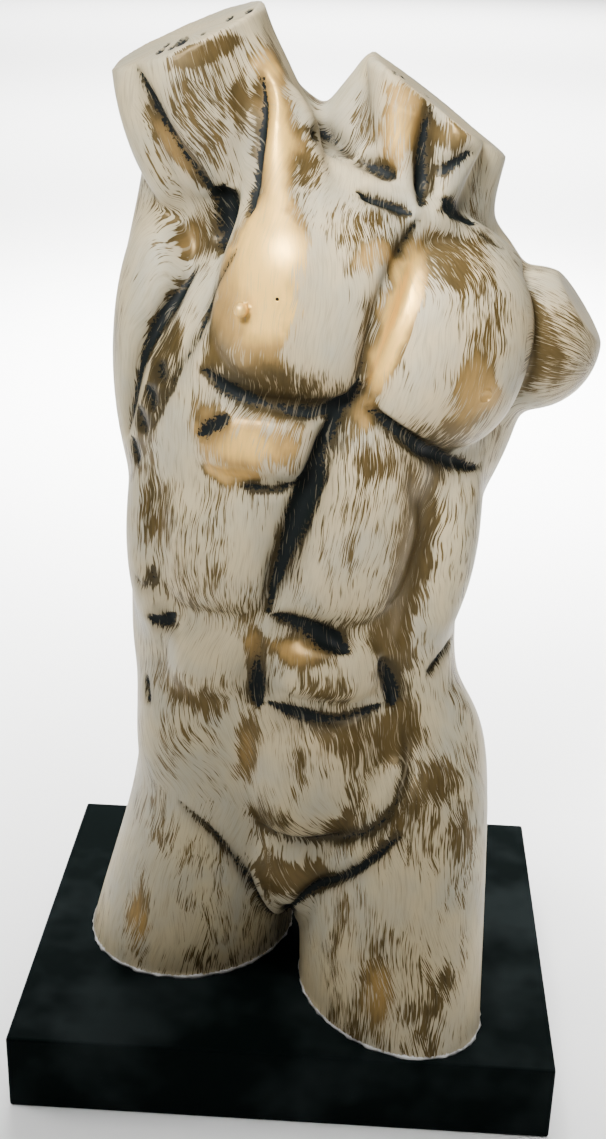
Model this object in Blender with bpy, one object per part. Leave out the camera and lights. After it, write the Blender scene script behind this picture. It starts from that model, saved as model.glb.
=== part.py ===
"""Male torso sculpture: a cast figure without head, arms and lower legs, on a rectangular plinth.

The frame has +Z up, the front of the figure facing -Y, and its origin in the middle of the plinth's
underside. "Right" and "left" are the figure's own, so its right side is on the viewer's left.

The figure is laid out in figure units: LAYOUT_HEIGHT of them make FIGURE_HEIGHT, and its own origin
is the middle of the plinth's top. It is a field, negative inside, built from a trunk of sections, limbs
and muscles that blend into each other, cut off by planes. The surface where the field is zero is
meshed, and the carved lines are then sunk into it.
"""

import bpy
import bmesh
import numpy as np

# Driving sizes, in metres
FIGURE_HEIGHT = 0.564
PLINTH_WIDTH = 0.320
PLINTH_DEPTH = 0.256
PLINTH_THICKNESS = 0.050
PLINTH_EDGE = 0.0015
REST_GAP = 0.0003

# Layout of the figure, in figure units
LAYOUT_HEIGHT = 564.0
UNIT = FIGURE_HEIGHT / LAYOUT_HEIGHT
FIELD_LOW = (-150, -150, -18)
FIELD_HIGH = (190, 130, 580)
CELL = 6.0
CUT_ROUNDING = 2.0
TOUCH_STEP = 0.05
TORSO_TRIANGLES = 9000

# Colours and finish
TORSO_COLOUR = (0.55, 0.50, 0.42, 1.0)
TORSO_ROUGHNESS = 0.42
PLINTH_COLOUR = (0.010, 0.014, 0.016, 1.0)
PLINTH_ROUGHNESS = 0.38

# Trunk sections: height, middle x, middle y, half width, depth to the front, depth to the back,
# turn in degrees towards the figure's left, squareness
TRUNK = np.array([
    (30, 0, -8, 78, 26, 46, -8, 2.2),
    (60, 4, -5, 95, 40, 54, -8, 2.2),
    (100, 10, -2, 106, 50, 60, -8, 2.3),
    (140, 5, 0, 100, 58, 58, -6, 2.3),
    (175, 0, 2, 98, 60, 50, -4, 2.3),
    (205, -4, 4, 97, 60, 45, -2, 2.3),
    (240, -4, 5, 97, 62, 46, 0, 2.3),
    (280, -1, 6, 99, 66, 54, 4, 2.3),
    (320, 3, 7, 103, 70, 64, 9, 2.3),
    (360, 7, 8, 106, 72, 72, 14, 2.3),
    (400, 12, 10, 102, 70, 76, 16, 2.3),
    (430, 18, 12, 90, 62, 72, 16, 2.2),
    (455, 27, 13, 73, 50, 60, 16, 2.1),
    (475, 39, 14, 57, 42, 46, 14, 2.0),
    (495, 48, 14, 44, 36, 36, 12, 2.0),
], float)
TRUNK_END_BLEND = (20, 12)


def limb(name, start, end, start_radius, end_radius, blend, flat=1.0, flat_along=(0, 1, 0)):
    """A tapered round limb. flat squeezes it along flat_along."""
    return dict(name=name, start=np.array(start, float), end=np.array(end, float), radii=(start_radius, end_radius),
                blend=blend, flat=flat, flat_along=np.array(flat_along, float))


def muscle(name, at, half, blend, turn=0, lean=0, square=2.0):
    """A swelling of half sizes (across, deep, high), turned towards the figure's left and leaned, in degrees."""
    return dict(name=name, at=np.array(at, float), half=np.array(half, float), blend=blend,
                turn=turn, lean=lean, square=square)


def groove(name, path, half_width, depth, side=1):
    """A carved line through (x, z) points of the front view, or of the back with side -1."""
    return dict(name=name, path=np.array(path, float), half_width=half_width, depth=depth, side=side)


LIMBS = [
    limb("right thigh", (-72, -2, -40), (-42, 2, 120), 67, 57, 16, flat=0.93, flat_along=(1, -1, 0)),
    limb("left thigh", (64, -80, -40), (60, -26, 110), 63, 65, 16, flat=0.74, flat_along=(1, 1, 0)),
    limb("raised right arm", (-22, 10, 440), (-78, -2, 590), 40, 38, 20, flat=0.9),
    limb("root of the right arm", (-62, 22, 490), (-70, 20, 400), 30, 38, 18),
    limb("neck", (46, 14, 440), (65, 4, 560), 37, 31, 14),
    limb("trapezius", (-24, 20, 495), (88, 24, 427), 30, 25, 18, flat=0.8),
    limb("upper back", (30, 44, 440), (34, 34, 380), 34, 38, 20),
    limb("right side of the neck", (14, 20, 485), (40, 10, 548), 22, 9, 10),
    limb("left side of the neck", (84, 18, 440), (90, 10, 505), 9, 14, 10),
    limb("left shoulder", (80, 26, 389), (123, 18, 391), 38, 40, 12),
    limb("top of the deltoid ridge", (-42, -10, 560), (-19, -21, 514), 8, 12, 8),
    limb("deltoid ridge", (-19, -21, 514), (-8, -52, 446), 12, 19, 10),
    limb("right pectoral into the arm", (-14, -22, 500), (-4, -48, 436), 18, 34, 18),
    limb("right neck cord", (50, -26, 470), (38, -6, 545), 9, 13, 8),
    limb("left neck cord", (66, -24, 470), (84, -10, 530), 9, 15, 8),
    limb("right collar bone", (52, -32, 467), (0, -21, 483), 11, 10, 8),
    limb("left collar bone", (66, -29, 464), (104, -6, 436), 10, 9, 8),
    limb("right cord of the back", (-12, 38, 170), (-8, 50, 330), 17, 20, 12),
    limb("left cord of the back", (22, 38, 170), (34, 50, 330), 17, 20, 12),
]

MUSCLES = [
    muscle("right pectoral", (2, -42, 421), (49, 41, 51), 6, turn=6, lean=15, square=2.8),
    muscle("left pectoral", (72, -26, 395), (48, 42, 55), 6, turn=27, lean=15, square=2.4),
    muscle("right upper chest", (22, -24, 448), (44, 38, 34), 14, turn=10, lean=15),
    muscle("left upper chest", (76, -12, 422), (38, 36, 36), 12, turn=24, lean=20),
    muscle("right upper block", (-20, -46, 351), (39, 30, 24), 5, turn=-2, lean=3, square=3.2),
    muscle("right middle block", (-42, -38, 286), (34, 29, 44), 7, turn=-14, square=3.2),
    muscle("left long block", (32, -39, 308), (35, 31, 71), 6, turn=10, lean=9, square=2.8),
    muscle("right lower block", (-47, -34, 212), (26, 25, 26), 8, turn=-14, square=3.2),
    muscle("navel block", (17, -36, 213), (34, 29, 23), 5, lean=2, square=3.2),
    muscle("lower belly", (16, -18, 140), (50, 54, 53), 5, turn=2, square=2.6),
    muscle("pubis", (5, -32, 76), (34, 36, 46), 10, turn=4),
    muscle("right hip", (-54, -8, 160), (41, 46, 62), 12, turn=-20, lean=4, square=2.4),
    muscle("left hip", (73, -10, 127), (42, 48, 67), 12, turn=20, lean=-4, square=2.4),
    muscle("right oblique", (-70, -8, 278), (27, 44, 78), 12, turn=-20),
    muscle("left oblique", (69, 0, 274), (27, 46, 78), 12, turn=24, lean=8),
    muscle("right latissimus", (-76, 4, 372), (32, 46, 92), 10, turn=-8, lean=-1),
    muscle("left latissimus", (91, 26, 362), (30, 42, 78), 14, turn=20, lean=10),
    muscle("right biceps", (-58, -6, 512), (29, 31, 52), 5, turn=4, lean=-20, square=2.6),
    muscle("right triceps", (-81, 4, 509), (18, 30, 56), 6, turn=-20, lean=-17),
    muscle("right deltoid", (-24, 6, 492), (24, 34, 66), 8, turn=10, lean=-14),
    muscle("right buttock", (-46, 30, 106), (55, 50, 62), 14, turn=-10, square=2.2),
    muscle("left buttock", (62, 18, 102), (52, 52, 62), 14, turn=2, square=2.2),
    muscle("right shoulder blade", (-36, 54, 408), (40, 28, 58), 14, turn=8, lean=-16, square=2.3),
    muscle("left shoulder blade", (60, 60, 392), (38, 27, 50), 14, turn=18, lean=18, square=2.3),
    muscle("right nipple", (-30, -83.5, 425), (4, 3.5, 4), 2),
    muscle("left nipple", (96, -61, 379), (4, 3.5, 4), 2, turn=40),
]

# Cut planes: a point on the plane, the direction that is cut away, and how far from the point it cuts
CUTS = [
    ("right arm", (-67, 0, 547), (-0.385, -0.13, 0.915), 90),
    ("neck", (59, -8, 520.5), (0.57, 0.0, 0.82), 90),
    ("left arm", (152, 10, 406), (0.80, -0.10, 0.59), 64),
    ("below the foot", (0, 0, -10), (0, 0, -1), 300),
]

GROOVES = [
    groove("triceps line", [(-90, 533), (-80, 516), (-69, 498), (-55, 479), (-43, 464)], 4.5, 3.5),
    groove("armpit", [(-45, 476), (-43, 460), (-43, 444)], 8, 8),
    groove("biceps line", [(-25, 531), (-26, 514), (-28, 498), (-29, 482), (-29, 467)], 7, 7),
    groove("deltoid valley", [(-12, 528), (-5, 504), (0, 480), (5, 462)], 9, 2.5),
    groove("latissimus line", [(-58, 435), (-69, 419), (-78, 405), (-86, 389), (-92, 369), (-98, 340)], 5, 4.5),
    groove("side of the ribs", [(-34, 451), (-44, 433), (-53, 407), (-66, 382), (-80, 350)], 3, 1.5),
    groove("under the right pectoral", [(-51, 388), (-33, 377), (-4, 370), (14, 369), (26, 377), (30, 387)], 5.5, 5),
    groove("breast bone", [(57, 466), (46, 447), (38, 427), (33, 401), (29, 385)], 5, 3),
    groove("under the left pectoral", [(33, 371), (56, 354), (75, 338), (86, 332), (99, 326)], 4.5, 4.5),
    groove("middle line", [(22, 377), (14, 352), (1, 313), (-7, 283), (-16, 247)], 7.5, 7),
    groove("foot of the right upper block", [(-30, 326), (-20, 324), (-10, 324), (-2, 328)], 3.5, 3.5),
    groove("rib notch", [(-53, 354), (-45, 361), (-37, 366)], 4, 3),
    groove("arch over the navel block", [(-14, 246), (-2, 243), (12, 237), (29, 228)], 6, 5.5),
    groove("right of the navel block", [(-20, 236), (-21, 212), (-21, 188)], 4.5, 4),
    groove("under the navel block", [(-15, 191), (3, 186), (26, 183), (49, 191)], 3.5, 3.5),
    groove("left of the navel block", [(48, 220), (54, 206), (57, 190)], 4.5, 4),
    groove("right edge of the belly", [(-22, 184), (-26, 164), (-24, 146)], 6, 2),
    groove("fold of the belly", [(60, 182), (66, 158), (50, 124), (14, 104), (-24, 106)], 3, 2.5),
    groove("right groin", [(-68, 118), (-42, 94), (-22, 58), (-8, 29)], 3, 3.5),
    groove("left groin", [(65, 124), (38, 94), (12, 69), (3, 58)], 3.5, 4.5),
    groove("crotch", [(1, 58), (-1, 40), (-2, 20)], 5, 8),
    groove("right flank dimple", [(-86, 234), (-78, 233), (-69, 238)], 5, 3),
    groove("right flank slit", [(-89, 193), (-86, 176)], 2.5, 2),
    groove("left hip slit", [(88, 204), (83, 208), (75, 204)], 4, 3.5),
    groove("side of the left long block", [(56, 347), (70, 301), (68, 271), (57, 226)], 9, 3),
    groove("throat", [(59, 522), (57, 499), (58, 470)], 5, 5),
    groove("over the right collar bone", [(22, 492), (44, 484)], 5, 4),
    groove("under the right collar bone", [(25, 478), (39, 474), (53, 468)], 4.5, 4.5),
    groove("left neck line", [(63, 486), (84, 497)], 5, 3.5),
    groove("over the left collar bone", [(68, 474), (87, 461)], 6, 4.5),
    groove("root of the neck", [(2, 503), (20, 492)], 5, 4),
    groove("spine", [(8, 150), (14, 260), (30, 400), (40, 460)], 9, 6, side=-1),
    groove("seat cleft", [(6, 150), (8, 90), (8, 20)], 6, 10, side=-1),
    groove("right seat fold", [(-16, 52), (-44, 44), (-74, 54)], 4, 4, side=-1),
    groove("left seat fold", [(26, 50), (56, 40), (88, 50)], 4, 4, side=-1),
    groove("edge of the right blade", [(-2, 450), (-6, 410), (-22, 364), (-48, 352)], 6, 3, side=-1),
    groove("edge of the left blade", [(40, 440), (36, 400), (48, 362), (72, 352)], 6, 3, side=-1),
]
GROOVE_STEP = 1.5
GROOVE_REACH = 2.2
TAPER_SHARE = 0.2
END_WIDTH = 0.25


def smooth_min(a, b, blend):
    h = np.maximum(blend - np.abs(a - b), 0.0) / blend
    return np.minimum(a, b) - h * h * h * blend / 6.0


def smooth_max(a, b, blend):
    return -smooth_min(-a, -b, blend)


def turned(turn, lean):
    """The axes, as columns, of a frame turned about Z and then leaned sideways, in degrees."""
    a, c = np.radians([turn, lean])
    about_z = np.array([[np.cos(a), -np.sin(a), 0], [np.sin(a), np.cos(a), 0], [0, 0, 1]])
    about_y = np.array([[np.cos(c), 0, np.sin(c)], [0, 1, 0], [-np.sin(c), 0, np.cos(c)]])
    return about_z @ about_y


def between_sections(height):
    """Each trunk value at these heights, on smooth curves through the sections."""
    levels, values = TRUNK[:, 0], TRUNK[:, 1:]
    slopes = np.gradient(values, levels, axis=0)
    i = np.clip(np.searchsorted(levels, height) - 1, 0, len(levels) - 2)
    span = levels[i + 1] - levels[i]
    s = np.clip((height - levels[i]) / span, 0, 1)[:, None]
    span = span[:, None]
    lower = (2 * s**3 - 3 * s**2 + 1) * values[i] + (s**3 - 2 * s**2 + s) * span * slopes[i]
    upper = (3 * s**2 - 2 * s**3) * values[i + 1] + (s**3 - s**2) * span * slopes[i + 1]
    return (lower + upper).T


def trunk_field(p):
    middle_x, middle_y, half, front, back, turn, square = between_sections(p[:, 2])
    c, s = np.cos(np.radians(turn)), np.sin(np.radians(turn))
    x, y = p[:, 0] - middle_x, p[:, 1] - middle_y
    across, deep = c * x + s * y, c * y - s * x
    depth = np.where(deep < 0, front, back)
    share = (np.abs(across / half) ** square + np.abs(deep / depth) ** square) ** (1 / square)
    d = np.hypot(across, deep) * (1 - 1 / np.maximum(share, 0.05))
    d = np.where(share < 0.3, -0.7 * np.minimum(half, depth), d)
    d = smooth_max(d, TRUNK[0, 0] - p[:, 2], TRUNK_END_BLEND[0])
    return smooth_max(d, p[:, 2] - TRUNK[-1, 0], TRUNK_END_BLEND[1])


def limb_field(p, part):
    axis = part["end"] - part["start"]
    length = np.linalg.norm(axis)
    axis = axis / length
    q = p - part["start"]
    along = q @ axis
    radial = q - np.outer(along, axis)
    squeeze = part["flat_along"] - (part["flat_along"] @ axis) * axis
    squeeze /= np.linalg.norm(squeeze)
    radial += np.outer((radial @ squeeze) * (1 / part["flat"] - 1), squeeze)
    s = np.clip(along / length, 0, 1)
    start_radius, end_radius = part["radii"]
    radius = start_radius + (end_radius - start_radius) * s * s * (3 - 2 * s)
    return np.hypot(np.linalg.norm(radial, axis=1), along - np.clip(along, 0, length)) - radius


def muscle_field(p, part):
    q = np.abs((p - part["at"]) @ turned(part["turn"], part["lean"])) / part["half"]
    square = part["square"]
    plump = 1 + square / 2
    face = (q[:, 0] ** square + q[:, 2] ** square) ** (plump / square)
    share = (face + q[:, 1] ** plump) ** (1 / plump)
    return np.linalg.norm(p - part["at"], axis=1) * (1 - 1 / np.maximum(share, 0.2))


def blend_in(d, p, centre, reach, shape, part):
    """Blends one part into the field at the points that it can reach."""
    near = np.flatnonzero(((p - centre) ** 2).sum(1) < (reach + part["blend"] + 2 * CELL) ** 2)
    if len(near):
        d[near] = smooth_min(d[near], shape(p[near], part), part["blend"])


def figure_field(p):
    d = trunk_field(p)
    for part in LIMBS:
        centre = (part["start"] + part["end"]) / 2
        reach = np.linalg.norm(part["end"] - part["start"]) / 2 + max(part["radii"])
        blend_in(d, p, centre, reach, limb_field, part)
    for part in MUSCLES:
        blend_in(d, p, part["at"], np.linalg.norm(part["half"]), muscle_field, part)
    for name, point, away, reach in CUTS:
        offset = p - np.array(point, float)
        near = (offset**2).sum(1) < reach**2
        beyond = offset @ (np.array(away, float) / np.linalg.norm(away))
        d[near] = smooth_max(d[near], beyond[near], CUT_ROUNDING)
    return d


def corner(grid, offset):
    """The grid as seen from one corner of each cell: an offset of 0 or 1 along each axis, or None for all."""
    ends = {0: slice(0, -1), 1: slice(1, None), None: slice(None)}
    return grid[tuple(ends[step] for step in offset)]


def without_touching(value):
    """Moves grid points across the surface until no cell holds two sheets of it, which would touch."""
    while True:
        changed = False
        for axis in range(3):
            offsets = [list(pair) for pair in ((0, 0), (1, 1), (0, 1), (1, 0))]
            for offset in offsets:
                offset.insert(axis, None)
            a, b, c, d = [corner(value, offset) for offset in offsets]
            for near, far, fill, other in ((a, b, c, d), (c, d, a, b)):
                bad = (near < 0) & (far < 0) & (fill >= 0) & (other >= 0)
                changed |= bool(bad.any())
                fill[bad] = -TOUCH_STEP
        inside = sum((corner(value, offset) < 0).astype(int) for offset in np.ndindex(2, 2, 2))
        for offset in ((0, 0, 0), (0, 0, 1), (0, 1, 0), (1, 0, 0)):
            near = corner(value, offset)
            far = corner(value, tuple(1 - step for step in offset))
            lone = (inside == 2) & (near < 0) & (far < 0)
            hole = (inside == 6) & (near >= 0) & (far >= 0)
            changed |= bool(lone.any() or hole.any())
            near[lone] = TOUCH_STEP
            near[hole] = -TOUCH_STEP
        if not changed:
            return value


def surface_net(cell):
    """Points and quads of the surface where the field is zero, one point in each cell that it crosses."""
    axes = [np.arange(low, high + cell, cell) for low, high in zip(FIELD_LOW, FIELD_HIGH)]
    shape = tuple(len(axis) for axis in axes)
    grid = np.stack(np.meshgrid(*axes, indexing="ij"), -1).reshape(-1, 3)
    value = without_touching(figure_field(grid).reshape(shape))
    cells = tuple(n - 1 for n in shape)
    total, count = np.zeros(cells + (3,)), np.zeros(cells)
    crossings = []
    for axis in range(3):
        u, v = [k for k in range(3) if k != axis]
        near, far = value.take(range(cells[axis]), axis), value.take(range(1, shape[axis]), axis)
        index = np.argwhere((near < 0) != (far < 0))
        first, second = near[tuple(index.T)], far[tuple(index.T)]
        point = index.astype(float)
        point[:, axis] += first / (first - second)
        around = []
        for du, dv in ((0, 0), (1, 0), (1, 1), (0, 1)):
            cell_index = index.copy()
            cell_index[:, u] -= du
            cell_index[:, v] -= dv
            np.add.at(total, tuple(cell_index.T), point)
            np.add.at(count, tuple(cell_index.T), 1)
            around.append(cell_index)
        crossings.append((around, (first < 0) == (axis != 1)))
    used = count > 0
    number = np.full(cells, -1)
    number[used] = np.arange(used.sum())
    points = np.array(FIELD_LOW) + total[used] / count[used][:, None] * cell
    quads = []
    for around, outward in crossings:
        quad = np.stack([number[tuple(index.T)] for index in around], 1)
        quad[~outward] = quad[~outward][:, ::-1]
        quads.append(quad)
    return points, np.concatenate(quads)


def divided(points, quads):
    """Each quad as four."""
    edges = np.sort(np.stack([quads, np.roll(quads, -1, 1)], 2).reshape(-1, 2), 1)
    edges, place = np.unique(edges, axis=0, return_inverse=True)
    place = len(points) + place.reshape(-1, 4)
    middle = len(points) + len(edges) + np.arange(len(quads))
    parts = [np.stack([quads[:, i], place[:, i], middle, place[:, i - 1]], 1) for i in range(4)]
    return np.vstack([points, points[edges].mean(1), points[quads].mean(1)]), np.concatenate(parts)


def settled(points, rounds, probe=0.4, most=2.0):
    """The points moved onto the surface, and the directions out of it."""
    for _ in range(rounds):
        value = figure_field(points)
        slope = np.stack([(figure_field(points + step) - value) / probe for step in np.eye(3) * probe], 1)
        steepness = np.maximum((slope**2).sum(1), 0.05)[:, None]
        move = -value[:, None] * slope / steepness
        length = np.linalg.norm(move, axis=1)[:, None]
        points = points + move * np.minimum(1, most / np.maximum(length, 1e-9))
    return points, slope / np.sqrt(steepness)


def smooth_path(path):
    """A Catmull-Rom curve through the path's points."""
    ends = np.vstack([2 * path[0] - path[1], path, 2 * path[-1] - path[-2]])
    pieces = []
    for a, b, c, d in zip(ends, ends[1:], ends[2:], ends[3:]):
        count = max(2, int(np.linalg.norm(c - b) / GROOVE_STEP))
        t = np.linspace(0, 1, count, endpoint=False)[:, None]
        bend = (2 * a - 5 * b + 4 * c - d) * t**2 + (3 * b - a - 3 * c + d) * t**3
        pieces.append((2 * b + (c - a) * t + bend) / 2)
    return np.vstack(pieces + [path[-1:]])


def onto_surface(flat, side, start=170.0, rounds=60):
    """(x, z) points of the front or back view, dropped onto the figure."""
    points = np.stack([flat[:, 0], np.full(len(flat), -start * side), flat[:, 1]], 1)
    for _ in range(rounds):
        points[:, 1] += side * np.clip(figure_field(points), -6, 30) * 0.7
    return points


def carved(points, outward):
    """The points sunk by the carved lines."""
    sink = np.zeros(len(points))
    for line in GROOVES:
        route = onto_surface(smooth_path(line["path"]), line["side"])
        reach = GROOVE_REACH * line["half_width"]
        inside = (points > route.min(0) - reach) & (points < route.max(0) + reach)
        near = np.flatnonzero(inside.all(1))
        if not len(near):
            continue
        squared = ((points[near, None] - route) ** 2).sum(2)
        closest = squared.argmin(1)
        share = closest / (len(route) - 1)
        taper = np.clip(np.minimum(share, 1 - share) / TAPER_SHARE, 0, 1) ** 0.5
        taper = END_WIDTH + (1 - END_WIDTH) * taper
        across = np.sqrt(squared[np.arange(len(near)), closest]) / (line["half_width"] * taper)
        sink[near] = np.maximum(sink[near], line["depth"] * taper * np.exp(-1.3 * across**2.2))
    return points - outward * sink[:, None]


def new_material(name, colour, roughness):
    material = bpy.data.materials.new(name)
    material.use_nodes = True
    shader = material.node_tree.nodes["Principled BSDF"]
    shader.inputs["Base Color"].default_value = colour
    shader.inputs["Roughness"].default_value = roughness
    shader.inputs["Metallic"].default_value = 0.0
    return material


def add_object(name, mesh, material, z):
    mesh.materials.append(material)
    body = bpy.data.objects.new(name, mesh)
    body.location.z = z
    bpy.context.scene.collection.objects.link(body)
    return body


def make_plinth():
    """A flat board with a small edge all round, its underside on z = 0."""
    mesh = bpy.data.meshes.new("plinth")
    shape = bmesh.new()
    bmesh.ops.create_cube(shape, size=1.0)
    bmesh.ops.scale(shape, vec=(PLINTH_WIDTH, PLINTH_DEPTH, PLINTH_THICKNESS), verts=shape.verts)
    bmesh.ops.bevel(shape, geom=shape.edges[:], offset=PLINTH_EDGE, segments=2, profile=0.5, affect="EDGES")
    shape.to_mesh(mesh)
    shape.free()
    finish = new_material("black board", PLINTH_COLOUR, PLINTH_ROUGHNESS)
    return add_object("plinth", mesh, finish, PLINTH_THICKNESS / 2)


def cut_foot(mesh):
    """Cuts the figure off flat at its own origin's height, and closes each thigh."""
    shape = bmesh.new()
    shape.from_mesh(mesh)
    everything = shape.verts[:] + shape.edges[:] + shape.faces[:]
    bmesh.ops.bisect_plane(shape, geom=everything, plane_co=(0, 0, 0), plane_no=(0, 0, -1), clear_outer=True)
    rim = [edge for edge in shape.edges if edge.is_boundary]
    bmesh.ops.holes_fill(shape, edges=rim, sides=0)
    shape.to_mesh(mesh)
    shape.free()


def make_torso():
    points, quads = surface_net(CELL)
    points, outward = settled(points, 2)
    points, quads = divided(points, quads)
    points, outward = settled(points, 1)
    points = carved(points, outward) * UNIT
    mesh = bpy.data.meshes.new("torso")
    mesh.from_pydata(points.tolist(), [], quads.tolist())
    cut_foot(mesh)
    mesh.shade_smooth()
    finish = new_material("painted cast", TORSO_COLOUR, TORSO_ROUGHNESS)
    body = add_object("torso", mesh, finish, PLINTH_THICKNESS + REST_GAP)
    thin = body.modifiers.new("fewer faces", "DECIMATE")
    thin.ratio = TORSO_TRIANGLES / (2 * len(mesh.polygons))
    thin.use_collapse_triangulate = True
    return body


for old in list(bpy.data.objects):
    bpy.data.objects.remove(old)
make_plinth()
make_torso()
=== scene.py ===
"""The looks of a male torso sculpture: a cast figure with a brushed paint finish, on a black plinth.

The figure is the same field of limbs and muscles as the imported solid, meshed finer, with its carved
lines, its small relief and the marks that steer its paint. Figure units are millimetres, from the
middle of the plinth's top, +Z up and -Y to the front.
"""

import math

import bmesh
import bpy
import numpy as np
from mathutils import Matrix, Vector


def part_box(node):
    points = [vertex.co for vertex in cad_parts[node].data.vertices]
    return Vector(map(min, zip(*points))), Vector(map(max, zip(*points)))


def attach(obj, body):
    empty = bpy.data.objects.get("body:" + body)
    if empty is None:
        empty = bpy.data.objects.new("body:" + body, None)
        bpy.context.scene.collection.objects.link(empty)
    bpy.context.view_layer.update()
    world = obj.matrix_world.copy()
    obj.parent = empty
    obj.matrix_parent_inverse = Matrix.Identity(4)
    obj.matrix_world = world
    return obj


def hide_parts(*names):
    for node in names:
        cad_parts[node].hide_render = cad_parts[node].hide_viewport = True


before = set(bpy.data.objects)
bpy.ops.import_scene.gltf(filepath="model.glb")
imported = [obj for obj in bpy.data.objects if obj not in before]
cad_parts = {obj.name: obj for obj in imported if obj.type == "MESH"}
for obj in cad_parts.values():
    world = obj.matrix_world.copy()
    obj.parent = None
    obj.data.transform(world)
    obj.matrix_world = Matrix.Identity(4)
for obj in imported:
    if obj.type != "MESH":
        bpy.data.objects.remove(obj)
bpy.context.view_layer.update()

# Figure layout
FIGURE_HEIGHT = 0.564
LAYOUT_HEIGHT = 564.0
UNIT = FIGURE_HEIGHT / LAYOUT_HEIGHT
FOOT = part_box("torso")[0][2]
FIELD_LOW = (-150, -150, -18)
FIELD_HIGH = (190, 130, 580)
# The mesh's first cell, divided once, stays under 200,000 triangles
CELL = 4.8
TOUCH_STEP = 0.05

# Trunk sections: height, middle x, middle y, half width, depth to the front, depth to the back,
# turn in degrees towards the figure's left, squareness
TRUNK = np.array([
    (30, 0, -8, 78, 26, 46, -8, 2.2),
    (60, 4, -5, 95, 40, 54, -8, 2.2),
    (100, 10, -2, 106, 50, 60, -8, 2.3),
    (140, 5, 0, 100, 58, 58, -6, 2.3),
    (175, 0, 2, 98, 60, 50, -4, 2.3),
    (205, -4, 4, 97, 60, 45, -2, 2.3),
    (240, -4, 5, 97, 62, 46, 0, 2.3),
    (280, -1, 6, 99, 66, 54, 4, 2.3),
    (320, 3, 7, 103, 70, 64, 9, 2.3),
    (360, 7, 8, 106, 72, 72, 14, 2.3),
    (400, 12, 10, 102, 70, 76, 16, 2.3),
    (430, 18, 12, 90, 62, 72, 16, 2.2),
    (455, 27, 13, 73, 50, 60, 16, 2.1),
    (475, 39, 14, 57, 42, 46, 14, 2.0),
    (495, 48, 14, 44, 36, 36, 12, 2.0),
], float)
TRUNK_END_BLEND = (20, 12)


def limb(name, start, end, start_radius, end_radius, blend, flat=1.0, flat_along=(0, 1, 0)):
    """A tapered round limb. flat squeezes it along flat_along."""
    return dict(name=name, start=np.array(start, float), end=np.array(end, float),
                radii=(start_radius, end_radius), blend=blend, flat=flat,
                flat_along=np.array(flat_along, float))


def muscle(name, at, half, blend, turn=0, lean=0, square=2.0):
    """A swelling of half sizes (across, deep, high), turned to the figure's left and leaned, in degrees."""
    return dict(name=name, at=np.array(at, float), half=np.array(half, float), blend=blend,
                turn=turn, lean=lean, square=square)


def groove(name, path, half_width, depth, ink=1.0, spread=1.0, side=1):
    """A carved line through (x, z) points of the front view, or of the back with side -1.

    ink is how black it is and spread how wide its black is, each one value or several along the line.
    """
    return dict(name=name, path=np.array(path, float), half_width=half_width, depth=depth,
                ink=np.atleast_1d(ink), spread=np.atleast_1d(spread), side=side)


def patch(name, at, half, bare, gold_and_highlight, lean=0, side=1):
    """A soft oval of the front or back view: bare thins the cream, and its gold value runs from brown to
    pale gold, partly gold paint and partly painted highlight.
    """
    return dict(name=name, at=np.array(at, float), half=np.array(half, float), bare=bare, gold_and_highlight=gold_and_highlight,
                lean=lean, side=side)


LIMBS = [
    limb("right thigh", (-72, -2, -40), (-42, 2, 120), 67, 57, 16, flat=0.93, flat_along=(1, -1, 0)),
    limb("left thigh", (64, -80, -40), (60, -26, 110), 63, 65, 16, flat=0.74, flat_along=(1, 1, 0)),
    limb("raised right arm", (-22, 10, 440), (-78, -2, 590), 40, 38, 20, flat=0.9),
    limb("root of the right arm", (-62, 22, 490), (-70, 20, 400), 30, 38, 18),
    limb("neck", (46, 14, 440), (65, 4, 560), 37, 31, 14),
    limb("trapezius", (-24, 20, 495), (88, 24, 427), 30, 25, 18, flat=0.8),
    limb("upper back", (30, 44, 440), (34, 34, 380), 34, 38, 20),
    limb("right side of the neck", (14, 20, 485), (40, 10, 548), 22, 9, 10),
    limb("left side of the neck", (84, 18, 440), (90, 10, 505), 9, 14, 10),
    limb("left shoulder", (80, 26, 389), (123, 18, 391), 38, 40, 12),
    limb("top of the deltoid ridge", (-42, -10, 560), (-19, -21, 514), 8, 12, 8),
    limb("deltoid ridge", (-19, -21, 514), (-8, -52, 446), 12, 19, 10),
    limb("right pectoral into the arm", (-14, -22, 500), (-4, -48, 436), 18, 34, 18),
    limb("right neck cord", (50, -26, 470), (38, -6, 545), 9, 13, 8),
    limb("left neck cord", (66, -24, 470), (84, -10, 530), 9, 15, 8),
    limb("right collar bone", (52, -32, 467), (0, -21, 483), 11, 10, 8),
    limb("left collar bone", (66, -29, 464), (104, -6, 436), 10, 9, 8),
    limb("right cord of the back", (-12, 38, 170), (-8, 50, 330), 17, 20, 12),
    limb("left cord of the back", (22, 38, 170), (34, 50, 330), 17, 20, 12),
]

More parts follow.
